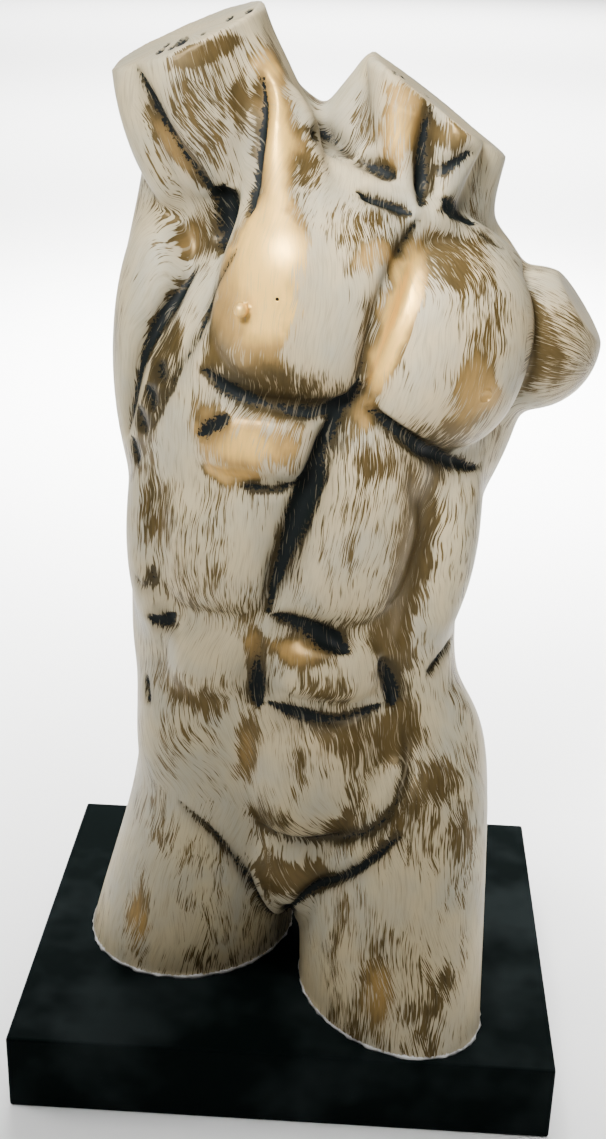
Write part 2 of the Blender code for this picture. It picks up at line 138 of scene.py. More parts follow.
MUSCLES = [
    muscle("right pectoral", (2, -42, 421), (49, 41, 51), 6, turn=6, lean=15, square=2.8),
    muscle("left pectoral", (72, -26, 395), (48, 42, 55), 6, turn=27, lean=15, square=2.4),
    muscle("right upper chest", (22, -24, 448), (44, 38, 34), 14, turn=10, lean=15),
    muscle("left upper chest", (76, -12, 422), (38, 36, 36), 12, turn=24, lean=20),
    muscle("right upper block", (-20, -46, 351), (39, 30, 24), 5, turn=-2, lean=3, square=3.2),
    muscle("right middle block", (-42, -38, 286), (34, 29, 44), 7, turn=-14, square=3.2),
    muscle("left long block", (32, -39, 308), (35, 31, 71), 6, turn=10, lean=9, square=2.8),
    muscle("right lower block", (-47, -34, 212), (26, 25, 26), 8, turn=-14, square=3.2),
    muscle("navel block", (17, -36, 213), (34, 29, 23), 5, lean=2, square=3.2),
    muscle("lower belly", (16, -18, 140), (50, 54, 53), 5, turn=2, square=2.6),
    muscle("pubis", (5, -32, 76), (34, 36, 46), 10, turn=4),
    muscle("right hip", (-54, -8, 160), (41, 46, 62), 12, turn=-20, lean=4, square=2.4),
    muscle("left hip", (73, -10, 127), (42, 48, 67), 12, turn=20, lean=-4, square=2.4),
    muscle("right oblique", (-70, -8, 278), (27, 44, 78), 12, turn=-20),
    muscle("left oblique", (69, 0, 274), (27, 46, 78), 12, turn=24, lean=8),
    muscle("right latissimus", (-76, 4, 372), (32, 46, 92), 10, turn=-8, lean=-1),
    muscle("left latissimus", (91, 26, 362), (30, 42, 78), 14, turn=20, lean=10),
    muscle("right biceps", (-58, -6, 512), (29, 31, 52), 5, turn=4, lean=-20, square=2.6),
    muscle("right triceps", (-81, 4, 509), (18, 30, 56), 6, turn=-20, lean=-17),
    muscle("right deltoid", (-24, 6, 492), (24, 34, 66), 8, turn=10, lean=-14),
    muscle("right buttock", (-46, 30, 106), (55, 50, 62), 14, turn=-10, square=2.2),
    muscle("left buttock", (62, 18, 102), (52, 52, 62), 14, turn=2, square=2.2),
    muscle("right shoulder blade", (-36, 54, 408), (40, 28, 58), 14, turn=8, lean=-16, square=2.3),
    muscle("left shoulder blade", (60, 60, 392), (38, 27, 50), 14, turn=18, lean=18, square=2.3),
    muscle("right nipple", (-30, -83, 425), (3.6, 3.4, 3.6), 2),
    muscle("left nipple", (96, -60.5, 379), (3.6, 3.4, 3.6), 2, turn=40),
]

# Cut planes: a point on the plane, the direction that is cut away, how far from the point it cuts, and
# how round its edge is. The last one takes off the neck's sharp corner.
CUTS = [
    ("right arm", (-67, 0, 547), (-0.385, -0.13, 0.915), 90, 2),
    ("neck", (59, -8, 520.5), (0.57, 0.0, 0.82), 90, 2),
    ("left arm", (152, 10, 406), (0.80, -0.10, 0.59), 64, 2),
    ("below the foot", (0, 0, -10), (0, 0, -1), 300, 2),
    ("corner of the neck", (26, -6, 539.8), (-0.17, -0.05, 0.98), 24, 8),
]

GROOVES = [
    groove("triceps line", [(-90, 533), (-80, 516), (-69, 498), (-55, 479), (-43, 464)], 4.5, 3.5,
           ink=(1, 1, 0.6, 0.7, 1), spread=(0.5, 0.7, 0.6, 0.6, 0.8)),
    groove("armpit", [(-45, 476), (-43, 460), (-43, 444)], 8, 8),
    groove("biceps line", [(-25, 531), (-26, 514), (-28, 498), (-29, 482), (-29, 467)], 7, 7,
           spread=(0.2, 0.45, 0.6, 0.75, 0.8)),
    groove("deltoid valley", [(-12, 528), (-5, 504), (0, 480), (5, 462)], 9, 2.5, ink=0),
    groove("latissimus line", [(-58, 435), (-69, 419), (-78, 405), (-86, 389), (-92, 369), (-98, 340)],
           5, 4.5, ink=(0.6, 1, 0.9, 0.8, 0.7, 0.5), spread=(0.5, 0.7, 0.8, 0.6, 0.5, 0.4)),
    groove("side of the ribs", [(-34, 451), (-44, 433), (-53, 407), (-66, 382), (-80, 350)], 3, 1.5,
           ink=(0.8, 0.6, 0.45, 0.4, 0.3), spread=0.7),
    groove("under the right pectoral", [(-51, 388), (-33, 377), (-4, 370), (14, 369), (26, 377), (30, 387)],
           5.5, 5, ink=(1, 1, 0.9, 0.5, 0.9, 1, 1, 1), spread=(0.6, 0.9, 0.75, 0.3, 0.5, 0.6, 1.1, 0.8)),
    groove("breast bone", [(57, 466), (46, 447), (38, 427), (33, 401), (29, 385)], 5, 3,
           ink=(0.8, 0.3, 0.15, 0.2, 0.6), spread=0.5),
    groove("under the left pectoral", [(33, 371), (56, 354), (75, 338), (86, 332), (99, 326)], 4.5, 4.5,
           spread=(0.4, 0.6, 0.9, 0.9, 0.6)),
    groove("middle line", [(22, 377), (14, 352), (1, 313), (-7, 283), (-16, 247)], 7.5, 7,
           spread=(1.05, 0.6, 0.5, 1.2, 1.1, 0.8, 0.52, 0.35, 0.25)),
    groove("foot of the right upper block", [(-30, 326), (-20, 324), (-10, 324), (-2, 328)], 3.5, 3.5,
           ink=(1, 0.8, 0.5, 1), spread=(0.9, 0.6, 0.5, 1.0)),
    groove("rib notch", [(-53, 354), (-45, 361), (-37, 366)], 4, 3, spread=1.1),
    groove("arch over the navel block", [(-14, 246), (-2, 243), (12, 237), (29, 228)], 6, 5.5,
           ink=(0.6, 0.9, 1, 1), spread=(0.5, 0.8, 1.3, 1.2)),
    groove("right of the navel block", [(-20, 236), (-21, 212), (-21, 188)], 4.5, 4, ink=(0, 0.3, 0.9, 1),
           spread=(0.6, 0.8, 1.2, 1.3)),
    groove("under the navel block", [(-15, 191), (3, 186), (26, 183), (49, 191)], 3.5, 3.5,
           ink=(0.9, 1, 0.6, 0.9), spread=(0.9, 1.4, 0.5, 1.2)),
    groove("left of the navel block", [(48, 220), (54, 206), (57, 190)], 4.5, 4,
           ink=(0.5, 0.9, 1), spread=(0.6, 1, 1.4)),
    groove("right edge of the belly", [(-22, 184), (-26, 164), (-24, 146)], 6, 2, ink=0),
    groove("fold of the belly", [(60, 182), (66, 158), (50, 124), (14, 104), (-24, 106)], 3, 2.5,
           ink=(0.1, 0.3, 0.5, 0.4, 0.15), spread=0.7),
    groove("right groin", [(-68, 118), (-42, 94), (-22, 58), (-8, 29)], 3, 3.5,
           ink=(0.4, 0.6, 0.7, 1), spread=(0.5, 0.6, 0.7, 1.2)),
    groove("left groin", [(65, 124), (38, 94), (12, 69), (3, 58)], 3.5, 4.5, spread=(0.5, 0.7, 0.75, 1)),
    groove("crotch", [(1, 58), (-1, 40), (-2, 20)], 5, 8),
    groove("right flank dimple", [(-86, 234), (-78, 233), (-69, 238)], 5, 3, ink=0.9),
    groove("right flank slit", [(-89, 193), (-86, 176)], 2.5, 2, ink=0.7),
    groove("left hip slit", [(90, 217), (83, 210), (76, 203)], 3.5, 3.5, ink=0.6, spread=0.8),
    groove("side of the left long block", [(56, 347), (70, 301), (68, 271), (57, 226)], 9, 3, ink=0),
    groove("throat", [(59, 522), (57, 499), (58, 470)], 5, 5, ink=(0.7, 0.9, 1), spread=(0.3, 0.5, 0.6)),
    groove("over the right collar bone", [(22, 492), (44, 484)], 5, 4, ink=(0.4, 0.7, 0.9), spread=0.5),
    groove("under the right collar bone", [(25, 478), (39, 474), (53, 468)], 4.5, 4.5,
           ink=0.85, spread=0.6),
    groove("left neck line", [(63, 486), (84, 497)], 5, 3.5, ink=0.95, spread=0.65),
    groove("over the left collar bone", [(68, 474), (87, 461)], 6, 4.5),
    groove("root of the neck", [(0, 506), (8, 500), (22, 491)], 5, 4,
           ink=(0.7, 0.5, 0.3), spread=(1.2, 0.8, 0.4)),
    groove("spine", [(8, 150), (14, 260), (30, 400), (40, 460)], 9, 6, ink=0.2, side=-1),
    groove("seat cleft", [(6, 150), (8, 90), (8, 20)], 6, 10, ink=0.9, side=-1),
    groove("right seat fold", [(-16, 52), (-44, 44), (-74, 54)], 4, 4, ink=0.5, side=-1),
    groove("left seat fold", [(26, 50), (56, 40), (88, 50)], 4, 4, ink=0.5, side=-1),
    groove("edge of the right blade", [(-2, 450), (-6, 410), (-22, 364), (-48, 352)], 6, 3,
           ink=0.3, side=-1),
    groove("edge of the left blade", [(40, 440), (36, 400), (48, 362), (72, 352)], 6, 3,
           ink=0.3, side=-1),
]

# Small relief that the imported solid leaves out
FINE_GROOVES = [
    groove("first rib cell", [(-76, 387), (-73, 377)], 4, 1.5, ink=0.55),
    groove("second rib cell", [(-83, 373), (-79, 361)], 5, 2, ink=0.65),
    groove("third rib cell", [(-90, 359), (-85, 347)], 4.5, 2, ink=0.5),
    groove("fourth rib cell", [(-94, 340), (-90, 326)], 3.5, 2, ink=0.7),
    groove("flank fold", [(-93, 262), (-88, 256), (-82, 260), (-81, 272)], 2.5, 1.5, ink=0.3),
    groove("left collar line", [(65, 470), (83, 460), (94, 453), (103, 447)], 2, 1.2, ink=0.3),
    groove("right waist dimple", [(-22, 168), (-20, 160)], 5, 2.5, ink=0.2, side=-1),
    groove("left waist dimple", [(34, 166), (33, 158)], 5, 2.5, ink=0.2, side=-1),
]
GROOVE_STEP = 1.5
GROOVE_REACH = 3.4
GROOVE_STEEPNESS = 1.3
TAPER_SHARE = 0.2
END_WIDTH = 0.25
CUT_SKIN = 1.2

# Pinholes: middle and radius
PINHOLES = [
    ((-78, -17, 540), 2.4),
    ((-76, -7, 542), 1.8),
    ((-67, -15, 544), 3.6),
    ((-72, -21, 543), 1.9),
    ((-44, -6, 556), 2.0),
    ((-34, -8, 560), 2.2),
    ((-56, -18, 549), 1.4),
    ((41, -15, 533), 1.9),
    ((45, -8, 530), 1.5),
    ((58, -4, 521), 1.7),
    ((-12, -83, 431), 0.9),
]
PINHOLE_STRETCH = (1.0, 0.34, 1.0)
NIPPLE_REACH = 3.0
NIPPLES = [part for part in MUSCLES if "nipple" in part["name"]]
# How far the finer and the finest faces reach round a pinhole or nipple, in its radii
FINER_REACH = 2.6
FINEST_REACH = 1.3
FINER_MARGIN = 0.8

# Each patch's gold value is partly gold paint and partly painted highlight and shade: pale on the
# pectoral's top, the deltoid strip and the breast bone, brown on the pectoral's foot.
PATCHES = [
    patch("under the arm's cut", (-53, 542), (20, 5), 1.0, 0.25, lean=-20),
    patch("front of the arm", (-55, 516), (15, 26), 0.26, 0.12, lean=-14),
    patch("inner side of the arm", (-36, 517), (4, 15), 1.0, 0.24),
    patch("along the triceps line", (-70, 496), (4, 20), 1.0, 0.75, lean=-38),
    patch("below the armpit", (-61, 447), (8, 15), 0.6, 0.6, lean=30),
    patch("strip of the deltoid", (-18, 508), (11, 58), 1.1, 1.1, lean=-8),
    patch("chest beside the strip", (12, 492), (12, 24), -0.25, 0.3, lean=-6),
    patch("valley of the deltoid", (2, 492), (7, 22), 0.45, 0.2),
    patch("upper chest", (20, 466), (24, 12), 0.3, 0.3),
    patch("right pectoral, upper", (-20, 456), (20, 34), 1.0, 1.1, lean=8),
    patch("right pectoral, middle", (-24, 426), (26, 28), 1.0, 1.2),
    patch("right pectoral, lower", (-20, 391), (34, 15), 0.85, 0.12),
    patch("right pectoral, outer edge", (-42, 408), (7, 26), 1.0, 0.3, lean=14),
    patch("right pectoral, foot", (5, 381), (34, 11), 0.6, 0.12),
    patch("right pectoral, inner edge", (30, 408), (5, 26), 0.6, 0.15, lean=8),
    patch("swelling by the breast bone", (34, 451), (13, 6), 0.6, 1.0, lean=-20),
    patch("cream of the right pectoral", (10, 420), (17, 30), -0.45, 0.3),
    patch("cream of the left pectoral", (64, 404), (15, 30), -0.3, 0.3, lean=10),
    patch("band of the breast bone", (48, 420), (8, 50), 1.2, 1.3, lean=16),
    patch("left pectoral, upper", (79, 445), (18, 13), 0.65, 0.3),
    patch("left pectoral, outer", (90, 384), (15, 26), 0.6, 0.7),
    patch("left pectoral, foot", (74, 356), (28, 10), 0.6, 0.15, lean=25),
    patch("right upper block", (-30, 352), (30, 18), 0.75, 1.15),
    patch("right upper block, foot", (-36, 334), (18, 6), 0.9, 0.8),
    patch("right nipple", (-30, 425), (8, 8), 1.3, 0.75),
    patch("left nipple", (96, 379), (8, 8), 1.3, 0.7),
    patch("neck", (45, 508), (13, 22), 0.7, 1.1),
    patch("neck, front edge", (46, 523), (14, 5), 0.9, 0.5, lean=20),
    patch("neck, left of the throat", (73, 507), (11, 9), 0.8, 0.4),
    patch("left stump", (122, 404), (17, 24), 0.6, 0.2),
    # Partly brushed streaks and partly painted shade on the stump's front
    patch("left stump, streaks", (142, 396), (30, 36), 0.62, 0.15),
    patch("left long block, side", (62, 292), (12, 70), 0.8, 0.22, lean=2),
    patch("left long block, top", (44, 344), (16, 9), 0.6, 0.2),
    patch("left long block, foot", (56, 228), (12, 26), 0.85, 0.22),
    patch("navel block, top", (2, 227), (20, 8), 0.7, 0.85),
    patch("navel block, right side", (-23, 222), (5, 16), 1.0, 0.55),
    patch("navel block, middle", (20, 206), (18, 8), 0.4, 0.2),
    patch("belly, right edge", (-27, 158), (7, 22), 0.85, 0.45),
    patch("belly, left edge", (56, 172), (12, 20), 0.95, 0.3),
    patch("belly, top", (28, 174), (32, 12), 0.6, 0.25),
    patch("pubis", (2, 80), (24, 11), 0.8, 0.25),
    patch("right thigh", (-93, 32), (9, 24), 0.42, 0.8),
    patch("left thigh", (56, 34), (10, 20), 0.5, 0.8),
    patch("left hip", (84, 140), (24, 42), 0.4, 0.15, lean=20),
    patch("right hip", (-66, 150), (26, 40), 0.12, 0.15),
    patch("right lower block, foot", (-50, 196), (28, 12), 0.35, 0.25),
    patch("right middle block, foot", (-46, 258), (34, 18), 0.35, 0.12),
    patch("left long block", (40, 284), (30, 66), 0.26, 0.15),
    patch("left pectoral, streaks", (84, 400), (34, 44), 0.3, 0.25),
    patch("right side, streaks", (-74, 290), (18, 56), 0.28, 0.08),
    patch("foot of the belly", (14, 116), (36, 10), 0.42, 0.08),
    patch("belly, streaks", (20, 168), (40, 18), 0.4, 0.15),
    patch("right thigh, streaks", (-36, 14), (26, 14), 0.25, 0.1),
    patch("ribs", (-79, 368), (8, 34), 0.75, 0.1, lean=18),
    patch("left thigh, streaks", (62, 34), (46, 38), 0.38, 0.1),
    patch("right blade", (-34, 414), (24, 40), 0.55, 0.6, lean=-12, side=-1),
    patch("left blade", (60, 400), (22, 38), 0.55, 0.6, lean=14, side=-1),
    patch("back of the right arm", (-62, 500), (12, 34), 0.5, 0.4, lean=-20, side=-1),
    patch("valley of the spine", (18, 290), (12, 80), 0.55, 0.2, lean=6, side=-1),
    patch("small of the back", (8, 190), (54, 26), 0.4, 0.2, side=-1),
    patch("right buttock", (-48, 118), (34, 34), 0.42, 0.5, side=-1),
    patch("left buttock", (62, 112), (32, 34), 0.42, 0.5, side=-1),
    patch("back of the right thigh", (-52, 24), (36, 24), 0.35, 0.25, side=-1),
    patch("back of the left thigh", (60, 20), (36, 24), 0.35, 0.25, side=-1),
]
PATCH_DEPTH = 26.0
PATCH_EDGE = 0.6
PATCH_WARP = 0.2
# How much of a patch's painted highlight is left at its edge
DULL_EDGE = 0.5

# Limbs that the brush follows: the axis from start to end, how far from it that holds, and a soft edge
BRUSH_AXES = [
    ("right arm", (-40, 6, 476), (-76, -2, 575), 44, 22),
    ("neck", (52, 10, 488), (62, 4, 545), 40, 12),
    ("left stump", (118, 14, 400), (165, 2, 376), 46, 16),
    ("right thigh", (-66, -2, -10), (-50, 2, 62), 66, 30),
    ("left thigh", (64, -70, -10), (60, -36, 82), 64, 30),
]
# Where the strokes slant: middle, reach, and how far they lean over for each unit of height
SLANTS = [
    ((92, -40, 160), 60, -0.55),
    ((-50, -50, 140), 62, 0.5),
    ((62, -40, 100), 50, -0.5),
    ((-86, -20, 300), 60, 0.18),
    ((60, 70, 420), 60, -0.3),
    ((-40, 70, 420), 60, 0.3),
]
STROKE_WANDER = 0.035
BRUSH_LEAN = 0.3
TRUNK_BRUSH_RADIUS = 90.0
TRUNK_BRUSH_SPAN = (100, 430)
BRUSH_DEPTH_SHARE = 0.07

# Raw rim of the cast at the foot
RIM_HEIGHT = 2.6
RIM_WIDTH = 1.5


def smooth_min(a, b, blend):
    h = np.maximum(blend - np.abs(a - b), 0.0) / blend
    return np.minimum(a, b) - h * h * h * blend / 6.0


def smooth_max(a, b, blend):
    return -smooth_min(-a, -b, blend)


def turned(turn, lean):
    """The axes, as columns, of a frame turned about Z and then leaned sideways, in degrees."""
    a, c = np.radians([turn, lean])
    about_z = np.array([[np.cos(a), -np.sin(a), 0], [np.sin(a), np.cos(a), 0], [0, 0, 1]])
    about_y = np.array([[np.cos(c), 0, np.sin(c)], [0, 1, 0], [-np.sin(c), 0, np.cos(c)]])
    return about_z @ about_y


def between_sections(height):
    """Each trunk value at these heights, on smooth curves through the sections."""
    levels, values = TRUNK[:, 0], TRUNK[:, 1:]
    slopes = np.gradient(values, levels, axis=0)
    i = np.clip(np.searchsorted(levels, height) - 1, 0, len(levels) - 2)
    span = levels[i + 1] - levels[i]
    s = np.clip((height - levels[i]) / span, 0, 1)[:, None]
    span = span[:, None]
    lower = (2 * s**3 - 3 * s**2 + 1) * values[i] + (s**3 - 2 * s**2 + s) * span * slopes[i]
    upper = (3 * s**2 - 2 * s**3) * values[i + 1] + (s**3 - s**2) * span * slopes[i + 1]
    return (lower + upper).T


def trunk_field(p):
    middle_x, middle_y, half, front, back, turn, square = between_sections(p[:, 2])
    c, s = np.cos(np.radians(turn)), np.sin(np.radians(turn))
    x, y = p[:, 0] - middle_x, p[:, 1] - middle_y
    across, deep = c * x + s * y, c * y - s * x
    depth = np.where(deep < 0, front, back)
    share = (np.abs(across / half) ** square + np.abs(deep / depth) ** square) ** (1 / square)
    d = np.hypot(across, deep) * (1 - 1 / np.maximum(share, 0.05))
    d = np.where(share < 0.3, -0.7 * np.minimum(half, depth), d)
    d = smooth_max(d, TRUNK[0, 0] - p[:, 2], TRUNK_END_BLEND[0])
    return smooth_max(d, p[:, 2] - TRUNK[-1, 0], TRUNK_END_BLEND[1])


def limb_field(p, part):
    axis = part["end"] - part["start"]
    length = np.linalg.norm(axis)
    axis = axis / length
    q = p - part["start"]
    along = q @ axis
    radial = q - np.outer(along, axis)
    squeeze = part["flat_along"] - (part["flat_along"] @ axis) * axis
    squeeze /= np.linalg.norm(squeeze)
    radial += np.outer((radial @ squeeze) * (1 / part["flat"] - 1), squeeze)
    s = np.clip(along / length, 0, 1)
    start_radius, end_radius = part["radii"]
    radius = start_radius + (end_radius - start_radius) * s * s * (3 - 2 * s)
    return np.hypot(np.linalg.norm(radial, axis=1), along - np.clip(along, 0, length)) - radius


def muscle_field(p, part):
    q = np.abs((p - part["at"]) @ turned(part["turn"], part["lean"])) / part["half"]
    square = part["square"]
    plump = 1 + square / 2
    face = (q[:, 0] ** square + q[:, 2] ** square) ** (plump / square)
    share = (face + q[:, 1] ** plump) ** (1 / plump)
    return np.linalg.norm(p - part["at"], axis=1) * (1 - 1 / np.maximum(share, 0.2))


def blend_in(d, p, centre, reach, shape, part):
    """Blends one part into the field at the points that it can reach."""
    near = np.flatnonzero(((p - centre) ** 2).sum(1) < (reach + part["blend"] + 2 * CELL) ** 2)
    if len(near):
        d[near] = smooth_min(d[near], shape(p[near], part), part["blend"])


def figure_field(p):
    d = trunk_field(p)
    for part in LIMBS:
        centre = (part["start"] + part["end"]) / 2
        reach = np.linalg.norm(part["end"] - part["start"]) / 2 + max(part["radii"])
        blend_in(d, p, centre, reach, limb_field, part)
    for part in MUSCLES:
        blend_in(d, p, part["at"], np.linalg.norm(part["half"]), muscle_field, part)
    for name, point, away, reach, rounding in CUTS:
        offset = p - np.array(point, float)
        near = (offset**2).sum(1) < reach**2
        beyond = offset @ (np.array(away, float) / np.linalg.norm(away))
        d[near] = smooth_max(d[near], beyond[near], rounding)
    return d


def corner(grid, offset):
    """The grid from one corner of each cell: 0 or 1 along each axis, or None for all of that axis."""
    ends = {0: slice(0, -1), 1: slice(1, None), None: slice(None)}
    return grid[tuple(ends[step] for step in offset)]


def without_touching(value):
    """Moves grid points across the surface until no cell holds two sheets of it, which would touch."""
    while True:
        changed = False
        for axis in range(3):
            offsets = [list(pair) for pair in ((0, 0), (1, 1), (0, 1), (1, 0))]
            for offset in offsets:
                offset.insert(axis, None)
            a, b, c, d = [corner(value, offset) for offset in offsets]
            for near, far, fill, other in ((a, b, c, d), (c, d, a, b)):
                bad = (near < 0) & (far < 0) & (fill >= 0) & (other >= 0)
                changed |= bool(bad.any())
                fill[bad] = -TOUCH_STEP
        inside = sum((corner(value, offset) < 0).astype(int) for offset in np.ndindex(2, 2, 2))
        for offset in ((0, 0, 0), (0, 0, 1), (0, 1, 0), (1, 0, 0)):
            near = corner(value, offset)
            far = corner(value, tuple(1 - step for step in offset))
            lone = (inside == 2) & (near < 0) & (far < 0)
            hole = (inside == 6) & (near >= 0) & (far >= 0)
            changed |= bool(lone.any() or hole.any())
            near[lone] = TOUCH_STEP
            near[hole] = -TOUCH_STEP
        if not changed:
            return value


def surface_net(cell):
    """Points and quads of the surface where the field is zero, one point in each cell that it crosses."""
    axes = [np.arange(low, high + cell, cell) for low, high in zip(FIELD_LOW, FIELD_HIGH)]
    shape = tuple(len(axis) for axis in axes)
    grid = np.stack(np.meshgrid(*axes, indexing="ij"), -1).reshape(-1, 3)
    value = without_touching(figure_field(grid).reshape(shape))
    cells = tuple(n - 1 for n in shape)
    total, count = np.zeros(cells + (3,)), np.zeros(cells)
    crossings = []
    for axis in range(3):
        u, v = [k for k in range(3) if k != axis]
        near, far = value.take(range(cells[axis]), axis), value.take(range(1, shape[axis]), axis)
        index = np.argwhere((near < 0) != (far < 0))
        first, second = near[tuple(index.T)], far[tuple(index.T)]
        point = index.astype(float)
        point[:, axis] += first / (first - second)
        around = []
        for du, dv in ((0, 0), (1, 0), (1, 1), (0, 1)):
            cell_index = index.copy()
            cell_index[:, u] -= du
            cell_index[:, v] -= dv
            np.add.at(total, tuple(cell_index.T), point)
            np.add.at(count, tuple(cell_index.T), 1)
            around.append(cell_index)
        crossings.append((around, (first < 0) == (axis != 1)))
    used = count > 0
    number = np.full(cells, -1)
    number[used] = np.arange(used.sum())
    points = np.array(FIELD_LOW) + total[used] / count[used][:, None] * cell
    quads = []
    for around, outward in crossings:
        quad = np.stack([number[tuple(index.T)] for index in around], 1)
        quad[~outward] = quad[~outward][:, ::-1]
        quads.append(quad)
    return points, np.concatenate(quads)


def divided(points, quads):
    """Each quad as four."""
    edges = np.sort(np.stack([quads, np.roll(quads, -1, 1)], 2).reshape(-1, 2), 1)
    edges, place = np.unique(edges, axis=0, return_inverse=True)
    place = len(points) + place.reshape(-1, 4)
    middle = len(points) + len(edges) + np.arange(len(quads))
    parts = [np.stack([quads[:, i], place[:, i], middle, place[:, i - 1]], 1) for i in range(4)]
    return np.vstack([points, points[edges].mean(1), points[quads].mean(1)]), np.concatenate(parts)


def slope_of(points, probe=0.4):
    """The field at the points, and its slope along each axis."""
    value = figure_field(points)
    steps = np.eye(3) * probe
    return value, np.stack([(figure_field(points + step) - value) / probe for step in steps], 1)


def settled(points, rounds, most=2.0):
    """The points moved onto the surface."""
    for _ in range(rounds):
        value, slope = slope_of(points)
        move = -value[:, None] * slope / np.maximum((slope**2).sum(1), 0.05)[:, None]
        length = np.linalg.norm(move, axis=1)[:, None]
        points = points + move * np.minimum(1, most / np.maximum(length, 1e-9))
    return points


def smooth_path(path):
    """A Catmull-Rom curve through the path's points."""
    ends = np.vstack([2 * path[0] - path[1], path, 2 * path[-1] - path[-2]])
    pieces = []
    for a, b, c, d in zip(ends, ends[1:], ends[2:], ends[3:]):
        count = max(2, int(np.linalg.norm(c - b) / GROOVE_STEP))
        t = np.linspace(0, 1, count, endpoint=False)[:, None]
        bend = (2 * a - 5 * b + 4 * c - d) * t**2 + (3 * b - a - 3 * c + d) * t**3
        pieces.append((2 * b + (c - a) * t + bend) / 2)
    return np.vstack(pieces + [path[-1:]])


def onto_surface(flat, side, start=170.0, rounds=60):
    """(x, z) points of the front or back view, dropped onto the figure."""
    points = np.stack([flat[:, 0], np.full(len(flat), -start * side), flat[:, 1]], 1)
    for _ in range(rounds):
        points[:, 1] += side * np.clip(figure_field(points), -6, 30) * 0.7
    return points


def along_line(values, share):
    """One value at each share of a line's length, between the values given for it."""
    return np.interp(share, np.linspace(0, 1, len(values)), values)


def carved_lines(points):
    """How far each point sinks, how black it is and how much painted shade lies beside the line, for all
    the carved lines.
    """
    sink, ink, painted_shade = np.zeros((3, len(points)))
    for line in GROOVES + FINE_GROOVES:
        route = onto_surface(smooth_path(line["path"]), line["side"])
        reach = GROOVE_REACH * line["half_width"]
        inside = (points > route.min(0) - reach) & (points < route.max(0) + reach)
        near = np.flatnonzero(inside.all(1))
        if not len(near):
            continue
        squared = ((points[near, None] - route) ** 2).sum(2)
        closest = squared.argmin(1)
        share = closest / (len(route) - 1)
        taper = np.clip(np.minimum(share, 1 - share) / TAPER_SHARE, 0, 1) ** 0.5
        taper = END_WIDTH + (1 - END_WIDTH) * taper
        across = np.sqrt(squared[np.arange(len(near)), closest]) / (line["half_width"] * taper)
        sink[near] = np.maximum(sink[near], line["depth"] * taper * np.exp(-GROOVE_STEEPNESS * across**2.2))
        black, spread = [along_line(line[key], share) for key in ("ink", "spread")]
        ink[near] = np.maximum(ink[near], black * np.exp(-GROOVE_STEEPNESS * (across / spread) ** 2))
        # Painted shade: a soft dark halo beside each inked line, fading with distance from it
        painted_shade_halo = np.exp(-0.5 * (across / (0.4 + spread)) ** 2) * (0.4 + 0.6 * taper)
        painted_shade[near] = np.maximum(painted_shade[near], painted_shade_halo * np.clip(2 * black, 0, 1))
    return sink, ink, painted_shade


def paint_patches(points):
    """How bare of cream each point is, how bright its gold with painted highlight, and how much it lies in
    a patch.
    """
    bare, covered, gold_and_highlight, weight = np.zeros((4, len(points)))
    warp = 1 + PATCH_WARP * wave(points, 34, 11) + PATCH_WARP / 2 * wave(points, 13, 12)
    for spot in PATCHES:
        middle = onto_surface(spot["at"][None], spot["side"])[0]
        q = (points - middle) @ turned(0, spot["lean"])
        half = np.array([spot["half"][0], PATCH_DEPTH, spot["half"][1]])
        far = np.linalg.norm(q / half, axis=1) * warp
        share = np.clip((1 + PATCH_EDGE - far) / (2 * PATCH_EDGE), 0, 1)
        share = share * share * (3 - 2 * share)
        if spot["bare"] < 0:
            covered = np.maximum(covered, -share * spot["bare"])
            continue
        bare = np.maximum(bare, share * spot["bare"])
        # Painted highlight: the gold is palest in a patch's middle and dulls towards its edge
        gold_and_highlight += share * spot["bare"] * spot["gold_and_highlight"] * (DULL_EDGE + (1 - DULL_EDGE) * np.exp(-far**2))
        weight += share * spot["bare"]
    gold_and_highlight = np.where(weight > 0, gold_and_highlight / np.maximum(weight, 1e-6), 0.0)
    return bare - covered, gold_and_highlight, np.minimum(weight, 1)


def cut_faces(points, outward):
    """1 on the flat cuts of the arms and the neck, 0 elsewhere."""
    flat = np.zeros(len(points))
    for name, point, away, *rest in CUTS[:3]:
        normal = np.array(away, float) / np.linalg.norm(away)
        close = 1 - np.abs((points - np.array(point, float)) @ normal) / CUT_SKIN
        flat = np.maximum(flat, np.clip(close, 0, 1) * np.clip((outward @ normal - 0.75) / 0.15, 0, 1))
    return flat


def trunk_brush(points):
    """Points laid out for brush strokes down the trunk: x and y across a stroke, z along it."""
    middle_x, middle_y = between_sections(np.clip(points[:, 2], *TRUNK_BRUSH_SPAN))[:2]
    offset = points[:, :2] - np.stack([middle_x, middle_y + 5], 1)
    wander = wave(points, 70, 3) + 0.3 * wave(points, 24, 7)
    angle = np.arctan2(offset[:, 0], -offset[:, 1]) + STROKE_WANDER * wander
    for middle, reach, slant in SLANTS:
        rise = points[:, 2] - middle[2]
        share = np.exp(-((points - np.array(middle, float)) ** 2).sum(1) / reach**2)
        angle += share * slant * rise / TRUNK_BRUSH_RADIUS
    beyond = np.linalg.norm(offset, axis=1) - TRUNK_BRUSH_RADIUS
    radius = TRUNK_BRUSH_RADIUS + BRUSH_DEPTH_SHARE * beyond
    return np.column_stack([np.sin(angle) * radius, -np.cos(angle) * radius, points[:, 2]])


